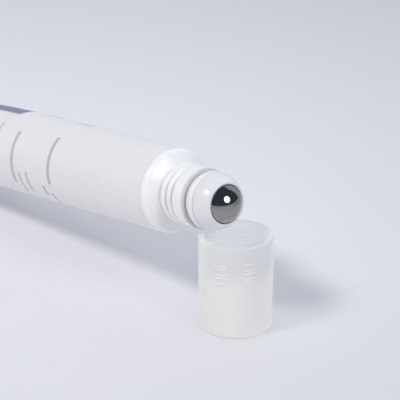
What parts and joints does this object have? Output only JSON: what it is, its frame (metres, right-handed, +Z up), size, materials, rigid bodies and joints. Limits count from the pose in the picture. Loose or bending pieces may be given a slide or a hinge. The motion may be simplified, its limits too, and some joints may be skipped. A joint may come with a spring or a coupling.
{
  "type": "roller ball lotion tube",
  "caption": "Squeeze tube with a flat end seal, a threaded neck and a steel roller ball in a domed housing, leaning open on its frosted screw cap.",
  "frame": {"origin": "on the table, under the middle of the bounding box of the tube and its cap", "axes": "+X along the tube from its flat seal towards the ball, +Y to the side on which the cap's axis stands off the tube's line, +Z up"},
  "size_m": [0.145, 0.029, 0.0369],
  "materials": {
    "sleeve_film": "soft white matte film",
    "shoulder_moulding": "glossy white moulding",
    "housing_moulding": "satin white moulding",
    "seat_moulding": "natural plastic",
    "polished_steel": "mirror polished",
    "frosted_cap": "frosted translucent"
  },
  "bodies": {
    "tube": {"tube_sleeve": "sleeve_film", "shoulder_neck": "shoulder_moulding", "roller_housing": "housing_moulding", "ball_seat": "seat_moulding"},
    "ball": {"roller_ball": "polished_steel"},
    "cap": {"screw_cap": "frosted_cap"}
  },
  "joints": [
    {"name": "ball_roll", "type": "hinge", "parent": "tube", "child": "ball", "pos_m": [0.06289, 0, 0.02985], "axis": [0, 1, 0], "continuous": true},
    {"name": "cap_take_away", "type": "slide", "parent": "tube", "child": "cap", "axis": [1, 0, 0], "range_m": [0, 0.06]}
  ]
}
